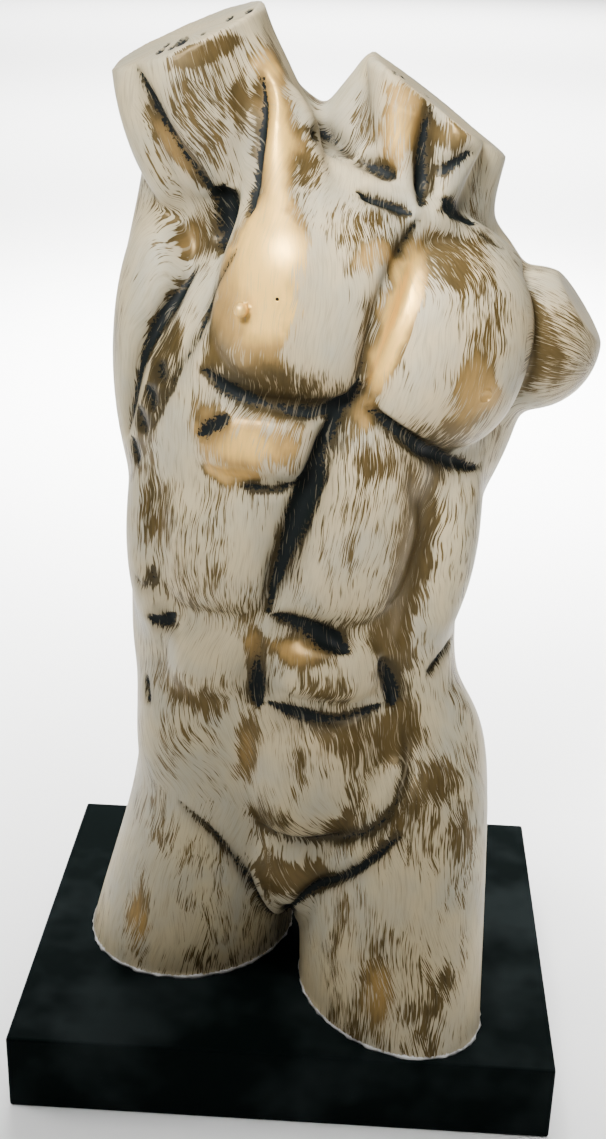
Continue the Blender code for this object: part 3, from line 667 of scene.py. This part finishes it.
def limb_brush(points, lean=0.0):
    """The same along the nearest limb, leaning over by lean, and how much it holds each point."""
    places, held = np.zeros_like(points), np.zeros(len(points))
    for name, start, end, reach, soft in BRUSH_AXES:
        start, end = np.array(start, float), np.array(end, float)
        length = np.linalg.norm(end - start)
        axis = (end - start) / length
        side_way = np.array([1.0, 0, 0]) - axis[0] * axis
        if np.linalg.norm(side_way) < 0.6:
            side_way = np.array([0, 0, 1.0]) - axis[2] * axis
        side_way /= np.linalg.norm(side_way)
        q = points - start
        along = q @ axis
        flat = np.stack([q @ side_way, q @ np.cross(axis, side_way)], 1)
        away = np.hypot(np.linalg.norm(flat, axis=1), along - np.clip(along, 0, length))
        share = np.clip((reach + soft - away) / soft, 0, 1)
        radius = reach * 0.8
        angle = np.arctan2(flat[:, 1], flat[:, 0]) + lean * along / radius
        angle += STROKE_WANDER * wave(points, 40, 4)
        laid = np.column_stack([np.cos(angle) * radius, np.sin(angle) * radius, along])
        nearer = share > held
        places[nearer] = laid[nearer]
        held = np.maximum(held, share)
    return places, held


def hollowness(points, edges, rounds=17):
    """How far and which way the smoothed surface lies from each point."""
    count = np.bincount(edges.ravel(), minlength=len(points))[:, None]
    smooth = points.copy()
    for _ in range(rounds):
        total = np.zeros_like(points)
        for k in range(3):
            total[:, k] += np.bincount(edges[:, 0], smooth[edges[:, 1], k], len(points))
            total[:, k] += np.bincount(edges[:, 1], smooth[edges[:, 0], k], len(points))
        smooth = total / count
    return smooth - points


def wave(places, size, seed):
    """A cheap smooth random value between -1 and 1 that changes over about this size."""
    draw = np.random.default_rng(seed)
    total = np.zeros(len(places))
    for _ in range(6):
        way = draw.normal(size=3)
        way *= 2 * np.pi / size / np.linalg.norm(way) * draw.uniform(0.6, 1.6)
        total += np.sin(places @ way + draw.uniform(0, 2 * np.pi))
    return total / 3


def cut_foot(shape):
    """Cuts the figure off flat at its own origin's height, and closes each thigh."""
    everything = shape.verts[:] + shape.edges[:] + shape.faces[:]
    bmesh.ops.bisect_plane(shape, geom=everything, plane_co=(0, 0, 0), plane_no=(0, 0, -1),
                           clear_outer=True)
    rim = [edge for edge in shape.edges if edge.is_boundary]
    bmesh.ops.holes_fill(shape, edges=rim, sides=0)


def pinhole_places():
    """The middle of each pinhole, on the surface."""
    return settled(np.array([at for at, radius in PINHOLES], float), 5)


def refine_near_details(shape):
    """Gives the surface round each pinhole and nipple finer faces."""
    middles = [(Vector(at), radius) for at, (_, radius) in zip(pinhole_places(), PINHOLES)]
    middles += [(Vector(part["at"]), NIPPLE_REACH) for part in NIPPLES]
    for cuts, reach in ((2, FINER_REACH), (1, FINEST_REACH)):
        chosen = []
        for edge in shape.edges:
            a, b = [vert.co for vert in edge.verts]
            middle = (a + b) / 2
            if any((middle - at).length < radius * reach + FINER_MARGIN for at, radius in middles):
                chosen.append(edge)
        bmesh.ops.subdivide_edges(shape, edges=chosen, cuts=cuts, use_grid_fill=True)


def placed(name, data):
    """A new object in the scene."""
    made = bpy.data.objects.new(name, data)
    bpy.context.scene.collection.objects.link(made)
    return made


def coordinates(mesh):
    flat = np.empty(len(mesh.vertices) * 3)
    mesh.vertices.foreach_get("co", flat)
    return flat.reshape(-1, 3)


def write_marks(mesh, marks):
    """Stores values on the mesh's points for the material to read."""
    for name, values in marks.items():
        kind, field = ("FLOAT", "value") if values.ndim == 1 else ("FLOAT_VECTOR", "vector")
        layer = mesh.attributes.new(name, kind, "POINT")
        layer.data.foreach_set(field, values.astype(np.float32).ravel())


def figure_mesh():
    """The figure's mesh, flat at the foot, with finer faces round its small details."""
    points, quads = surface_net(CELL)
    points = settled(points, 2)
    points, quads = divided(points, quads)
    points = settled(points, 1)
    mesh = bpy.data.meshes.new("painted torso")
    mesh.from_pydata(points.tolist(), [], quads.tolist())
    shape = bmesh.new()
    shape.from_mesh(mesh)
    cut_foot(shape)
    refine_near_details(shape)
    shape.to_mesh(mesh)
    shape.free()
    return mesh


def pinholes(points):
    """How deep a pinhole sinks each point, and how dark it is there."""
    sink, pin = np.zeros((2, len(points)))
    for at, (_, radius) in zip(pinhole_places(), PINHOLES):
        far = np.linalg.norm((points - at) * PINHOLE_STRETCH, axis=1) / radius
        pin = np.maximum(pin, np.clip(1.5 - far, 0, 1))
        sink = np.maximum(sink, radius * np.sqrt(np.clip(1 - far**2, 0, 1)))
    return sink, pin


def ragged_rim(points):
    """How far the foot's rim swells at each point, and how much raw cast shows there."""
    low = np.clip(1 - points[:, 2] / RIM_HEIGHT, 0, 1)
    ragged = 0.55 + 0.45 * wave(points, 14, 5) + 0.25 * wave(points, 4, 6)
    return RIM_WIDTH * low * np.clip(ragged, 0.1, 1.2), low * np.clip(0.7 + 0.5 * ragged, 0, 1.2)


def make_torso():
    mesh = figure_mesh()
    points = coordinates(mesh)
    # The nipples are smaller than a cell, so their finer faces settle once more
    for part in NIPPLES:
        near = np.linalg.norm(points - part["at"], axis=1) < FINER_REACH * NIPPLE_REACH
        points[near] = settled(points[near], 4, 1.0)
    slope = slope_of(points)[1]
    outward = slope / np.maximum(np.linalg.norm(slope, axis=1), 0.2)[:, None]
    carved, ink, painted_shade = carved_lines(points)
    pinned, pin = pinholes(points)
    swell, rim = ragged_rim(points)
    bare, gold_and_highlight, spotted = paint_patches(points)
    marks = dict(ink=ink, painted_shade=painted_shade, bare=bare, gold_and_highlight=gold_and_highlight, spotted=spotted, pin=pin, rim=rim,
                 cut=cut_faces(points, outward), brush=trunk_brush(points))
    marks["limb_brush"], marks["limb"] = limb_brush(points)
    marks["crossing_brush"] = limb_brush(points, BRUSH_LEAN)[0]
    sink = np.maximum(carved, pinned)
    points = points - outward * sink[:, None] + outward * (1, 1, 0) * swell[:, None]
    ends = np.empty(len(mesh.edges) * 2, int)
    mesh.edges.foreach_get("vertices", ends)
    marks["concave"] = (hollowness(points, ends.reshape(-1, 2)) * outward).sum(1)
    mesh.vertices.foreach_set("co", (points * UNIT + np.array([0, 0, FOOT])).ravel())
    write_marks(mesh, marks)
    mesh.update()
    mesh.shade_smooth()
    mesh.validate()
    mesh.materials.append(cast_paint())
    return placed("painted_torso", mesh)


class Graph:
    """The nodes of one material."""

    def __init__(self, name):
        self.material = bpy.data.materials.new(name)
        self.material.use_nodes = True
        self.tree = self.material.node_tree
        self.shader = self.tree.nodes["Principled BSDF"]

    def node(self, kind, inputs, output=0, **settings):
        made = self.tree.nodes.new(kind)
        for key, value in settings.items():
            setattr(made, key, value)
        self.feed(made, inputs)
        return made.outputs[output]

    def feed(self, made, inputs):
        for socket, value in inputs.items():
            if isinstance(value, bpy.types.NodeSocket):
                self.tree.links.new(value, made.inputs[socket])
            else:
                made.inputs[socket].default_value = value

    def mark(self, name):
        return self.node("ShaderNodeAttribute", {}, output=2, attribute_name=name)

    def places(self, name):
        return self.node("ShaderNodeAttribute", {}, output=1, attribute_name=name)

    def math(self, operation, *terms):
        total = terms[0]
        for term in terms[1:]:
            total = self.node("ShaderNodeMath", {0: total, 1: term}, operation=operation)
        return total

    def sum(self, *terms):
        return self.math("ADD", *terms)

    def times(self, *terms):
        return self.math("MULTIPLY", *terms)

    def less(self, *terms):
        return self.math("SUBTRACT", *terms)

    def larger(self, *terms):
        return self.math("MAXIMUM", *terms)

    def remap(self, value, low, high, to_low=0.0, to_high=1.0, kind="LINEAR"):
        names = {"Value": value, "From Min": low, "From Max": high, "To Min": to_low, "To Max": to_high}
        return self.node("ShaderNodeMapRange", names, interpolation_type=kind)

    def stretched(self, vector, scale):
        return self.node("ShaderNodeVectorMath", {0: vector, 1: scale}, operation="MULTIPLY")

    def noise(self, vector, scale, detail=2.0, roughness=0.55, distortion=0.0):
        return self.node("ShaderNodeTexNoise", {"Vector": vector, "Scale": scale, "Detail": detail,
                                                "Roughness": roughness, "Distortion": distortion})

    def blend(self, factor, a, b):
        return self.node("ShaderNodeMix", {0: factor, 6: a, 7: b}, output=2, data_type="RGBA")

    def blend_value(self, factor, a, b):
        return self.node("ShaderNodeMix", {0: factor, 2: a, 3: b}, data_type="FLOAT")

    def ramp(self, factor, stops):
        made = self.tree.nodes.new("ShaderNodeValToRGB")
        band = made.color_ramp
        while len(band.elements) < len(stops):
            band.elements.new(1.0)
        for element, (at, colour) in zip(band.elements, stops):
            element.position = at
            element.color = (*colour, 1.0)
        self.tree.links.new(factor, made.inputs[0])
        return made.outputs[0]


# Paint colours, linear
CREAM = (0.46, 0.385, 0.235)
CREAM_WARM = (0.47, 0.36, 0.20)
CREAM_COOL = (0.37, 0.34, 0.25)
CREAM_BRUSHED = (0.27, 0.235, 0.15)
# Painted shade, laid over the metal and cream beside the carved lines and in hollows
SOFT_SHADE = (0.040, 0.031, 0.017)
RAW_CAST = (0.78, 0.77, 0.74)
BLACK_PAINT = (0.003, 0.005, 0.005)
GOLD_STOPS = [
    (0.0, (0.045, 0.033, 0.013)),
    (0.3, (0.120, 0.080, 0.028)),
    (0.65, (0.42, 0.255, 0.080)),
    (1.0, (0.98, 0.60, 0.15)),
]
BLACK_BOARD = (0.0015, 0.0035, 0.0033)
WORN_BOARD = (0.004, 0.0065, 0.0063)
BOARD_DUST = (0.025, 0.032, 0.033)

# Sizes of strokes and blotches, in figure units
STROKE_LENGTH = 26.0
FINE_STROKE = 0.52
BROAD_STROKE = 2.0
BROAD_LENGTH = 9.0
CLUMP = 24.0
CROSSING = 26.0
TONE = 9.0
CLOUD = 38.0
SPECK = 2.0
GRAIN = 0.4

# How much of the cream is missing where it is worn and along the black lines
BARE_SHARE = 1.35
INKED_SHARE = 1.4


def brush_strokes(g, here):
    """Fine and broad streaks down the trunk and along each limb."""
    limb = g.remap(g.mark("limb"), 0.4, 0.6)

    def brushed(name, width, length, detail=1.0, distortion=0.1):
        """Noise drawn out along the strokes of one layout."""
        drawn_out = g.stretched(g.places(name), (1, 1, 1 / length))
        return g.noise(drawn_out, 1 / width, detail, 0.6, distortion)

    where = g.remap(g.noise(here, 1 / CROSSING, 1.0, 0.5), 0.50, 0.58)
    on_limbs = g.blend_value(where, brushed("limb_brush", FINE_STROKE, STROKE_LENGTH),
                             brushed("crossing_brush", FINE_STROKE, STROKE_LENGTH))
    fine = g.blend_value(limb, brushed("brush", FINE_STROKE, STROKE_LENGTH), on_limbs)
    broad = g.blend_value(limb, brushed("brush", BROAD_STROKE, BROAD_LENGTH, 2.0, 0.3),
                          brushed("limb_brush", BROAD_STROKE, BROAD_LENGTH, 2.0, 0.3))
    return fine, broad


def cream_tones(g, here, stroke, spotted):
    """The cream: cloudy, warmer in the patches, and thin where the brush ran dry."""
    tone = g.remap(g.noise(g.stretched(here, (1, 1, 0.3)), 1 / TONE, 3.0, 0.6), 0.35, 0.65)
    cloudy = g.remap(g.noise(here, 1 / CLOUD, 2.0, 0.5), 0.40, 0.60)
    colour = g.blend(cloudy, (*CREAM_COOL, 1), (*CREAM, 1))
    colour = g.blend(g.sum(g.times(tone, 0.3), g.times(spotted, 0.6)), colour, (*CREAM_WARM, 1))
    return g.blend(g.remap(stroke, 0.40, 1.0, 0.0, 0.55), colour, (*CREAM_BRUSHED, 1))


def metal_tones(g, broad, gold_and_highlight, spotted, painted_shade):
    """The metal under the cream: brown, and gold in the patches with painted highlight, browner beside the
    lines as painted shade.
    """
    shine = g.blend_value(spotted, 0.16, gold_and_highlight)
    blotch = g.times(g.remap(broad, 0.35, 0.65, -0.10, 0.10), g.remap(spotted, 0.0, 1.0, 1.0, 0.35))
    # Painted shade: the metal is browner beside the carved lines
    return g.ramp(g.less(g.sum(shine, blotch), g.times(painted_shade, 0.25)), GOLD_STOPS)


def cast_paint():
    """Metal paint all over, black in the carved lines, and a dry brush of cream on top."""
    g = Graph("painted cast")
    ink, painted_shade, bare, gold_and_highlight, spotted = map(g.mark, ("ink", "painted_shade", "bare", "gold_and_highlight", "spotted"))
    cut, rim, pin, concave = map(g.mark, ("cut", "rim", "pin", "concave"))
    here = g.stretched(g.node("ShaderNodeTexCoord", {}, output=3), (1 / UNIT, 1 / UNIT, 1 / UNIT))
    fine, broad = brush_strokes(g, here)
    clumps = g.noise(g.stretched(here, (1, 1, 0.45)), 1 / CLUMP, 3.0, 0.55, 0.2)
    speck = g.noise(here, 1 / SPECK, 4.0, 0.6)
    grain = g.noise(here, 1 / GRAIN, 2.0, 0.6)
    uneven = g.times(g.less(speck, 0.5), 0.8)

    # Cream lies in strokes and clumps, thinner in hollows, and whole on the cuts
    stroke = g.remap(g.sum(g.times(fine, 0.68), g.times(broad, 0.32)), 0.37, 0.63)
    cover = g.sum(g.remap(clumps, 0.36, 0.60, 0.50, 1.20), g.remap(concave, -1.2, 1.2, 0.22, -0.25))
    cover = g.less(cover, g.times(bare, BARE_SHARE), g.times(ink, INKED_SHARE))
    cover = g.larger(cover, g.remap(cut, 0.6, 1.0, 0.0, 1.6))
    soft = g.sum(g.times(spotted, 0.10), 0.13)
    cream = g.remap(g.less(cover, stroke), g.times(soft, -1.0), soft, kind="SMOOTHSTEP")

    # Black lies in the carved lines, with ragged edges
    black = g.sum(ink, g.times(g.less(speck, 0.5), 1.7), g.times(g.less(fine, 0.5), 0.4))
    black = g.remap(black, 0.34, 0.54, kind="SMOOTHSTEP")
    black = g.times(black, g.remap(ink, 0.05, 0.2))

    # Colours, with painted shade darkening the metal and cream beside the lines and in the hollows
    metal = metal_tones(g, broad, gold_and_highlight, spotted, painted_shade)
    creamy = cream_tones(g, here, stroke, spotted)
    shaded = g.times(g.sum(g.times(painted_shade, 0.5), g.remap(concave, 0.4, 2.4, 0.0, 0.2)), g.less(1.0, cut))
    under = g.blend(black, g.blend(shaded, metal, (*SOFT_SHADE, 1)), (*BLACK_PAINT, 1))
    colour = g.blend(cream, under, g.blend(shaded, creamy, (*SOFT_SHADE, 1)))
    colour = g.blend(g.remap(g.sum(pin, uneven), 0.30, 0.60), colour, (*BLACK_PAINT, 1))
    raw = g.remap(g.sum(rim, uneven), 0.40, 0.55)
    colour = g.blend(raw, colour, (*RAW_CAST, 1))

    bright = g.less(1.0, g.larger(cream, black, raw))
    smooth = g.blend_value(black, 0.38, 0.62)
    roughness = g.blend_value(cream, smooth, g.remap(fine, 0.3, 0.7, 0.42, 0.58))
    height = g.sum(g.times(cream, 0.5), g.times(fine, 0.5), g.times(grain, 0.12), g.times(raw, 0.5))
    bump = g.node("ShaderNodeBump", {"Height": height, "Strength": 0.4, "Distance": 0.0003})
    g.feed(g.shader, {"Base Color": colour, "Metallic": g.times(bright, 0.35), "Roughness": roughness,
                      "Normal": bump, "Specular IOR Level": 0.15})
    return g.material


def board_paint():
    """Satin black paint on a board, with a little dust and rubbing along the edges."""
    g = Graph("painted board")
    here = g.node("ShaderNodeTexCoord", {}, output=3)
    fibres = g.noise(g.stretched(here, (0.25, 1, 1)), 420.0, 3.0, 0.6)
    cloud = g.noise(here, 14.0, 3.0, 0.6)
    speck = g.noise(here, 900.0, 1.0, 0.5)
    dust = g.times(g.remap(speck, 0.66, 0.74), g.remap(cloud, 0.42, 0.62))
    edge = g.node("ShaderNodeNewGeometry", {}, output=7)
    rubbed = g.times(g.remap(edge, 0.52, 0.60), g.remap(cloud, 0.45, 0.65))
    colour = g.blend(g.remap(cloud, 0.35, 0.65, 0.0, 0.5), (*BLACK_BOARD, 1), (*WORN_BOARD, 1))
    colour = g.blend(g.larger(g.times(dust, 0.5), g.times(rubbed, 0.5)), colour, (*BOARD_DUST, 1))
    roughness = g.sum(g.remap(cloud, 0.3, 0.7, 0.50, 0.62), g.times(dust, 0.2))
    height = g.sum(g.times(fibres, 0.6), g.times(speck, 0.2))
    bump = g.node("ShaderNodeBump", {"Height": height, "Strength": 0.25, "Distance": 0.0002})
    g.feed(g.shader, {"Base Color": colour, "Roughness": roughness, "Normal": bump,
                      "Specular IOR Level": 0.01})
    return g.material


def dress_plinth():
    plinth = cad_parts["plinth"]
    plinth.data.materials.clear()
    plinth.data.materials.append(board_paint())


# The photograph's camera: its place in metres, its angles in degrees, its focal length in pixels
CAMERA_AT = (0.0375, -0.8117, 0.6536)
CAMERA_TURN = -2.6
CAMERA_DOWN = 23.45
CAMERA_ROLL = 1.57
PHOTO_HEIGHT = 1139
FOCAL_PIXELS = 1500
SENSOR = 36.0


def make_camera():
    turn, down, roll = [math.radians(a) for a in (CAMERA_TURN, CAMERA_DOWN, CAMERA_ROLL)]
    ahead = Vector((math.sin(turn) * math.cos(down), math.cos(turn) * math.cos(down), -math.sin(down)))
    level = Vector((math.cos(turn), -math.sin(turn), 0))
    above = level.cross(ahead)
    right = math.cos(roll) * level + math.sin(roll) * above
    up = math.cos(roll) * above - math.sin(roll) * level
    camera = placed("camera", bpy.data.cameras.new("camera"))
    camera.data.sensor_fit = "VERTICAL"
    camera.data.sensor_height = SENSOR
    camera.data.lens = FOCAL_PIXELS / PHOTO_HEIGHT * SENSOR
    camera.data.dof.use_dof = False
    axes = Matrix((right, up, -ahead)).transposed()
    camera.matrix_world = Matrix.Translation(CAMERA_AT) @ axes.to_4x4()
    bpy.context.scene.camera = camera


# Soft lights: place, the point it faces, width, power in watts, beam in degrees
LIGHTS = [
    ("key", (-0.2, -0.65, 1.05), (0.05, -0.05, 0.52), 0.35, 1.25, 29),
    ("top", (-0.25, -0.1, 1.5), (-0.06, 0, 0.6), 0.3, 0.2, 20),
    ("left floor", (-0.9, 0, 0.8), (-0.75, 0.05, 0), 0.6, 8, 80),
    ("right floor", (0.9, 0, 0.8), (0.75, 0.05, 0), 0.6, 8, 80),
    ("front floor", (0, -0.62, 0.8), (0, -0.42, 0), 0.3, 0.5, 34),
    ("floor in front", (0, -2.5, 2.2), (0, -2.6, 0), 1.5, 60, 90),
    ("near background", (0, 1.4, 1.5), (0, 1.45, 0), 1.6, 120, 90),
    ("background", (0, 4, 2.5), (0, 4.2, 0), 4, 400, 126),
    ("far background", (0, 10, 5), (0, 10.5, 0), 7, 1800, 138),
]
SKY = (1.0, 1.0, 1.0, 1.0)
SKY_STRENGTH = 0.16
FLOOR_COLOUR = (0.93, 0.93, 0.92, 1.0)
FLOOR_SIZE = 60.0


def make_stage():
    shape = bmesh.new()
    bmesh.ops.create_grid(shape, x_segments=1, y_segments=1, size=FLOOR_SIZE / 2)
    mesh = bpy.data.meshes.new("floor")
    shape.to_mesh(mesh)
    shape.free()
    floor = placed("floor", mesh)
    pale = Graph("pale floor")
    pale.feed(pale.shader, {"Base Color": FLOOR_COLOUR, "Roughness": 0.6})
    mesh.materials.append(pale.material)
    for name, at, to, size, power, beam in LIGHTS:
        light = bpy.data.lights.new(name, "AREA")
        light.shape = "DISK"
        light.size = size
        light.energy = power
        light.spread = math.radians(beam)
        lamp = placed(name, light)
        lamp.location = at
        lamp.rotation_euler = (Vector(to) - Vector(at)).to_track_quat("-Z", "Y").to_euler()
    world = bpy.data.worlds.new("studio")
    world.use_nodes = True
    world.node_tree.nodes["Background"].inputs["Color"].default_value = SKY
    world.node_tree.nodes["Background"].inputs["Strength"].default_value = SKY_STRENGTH
    bpy.context.scene.world = world


torso = make_torso()
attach(torso, "root")
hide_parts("torso")
dress_plinth()
make_stage()
make_camera()
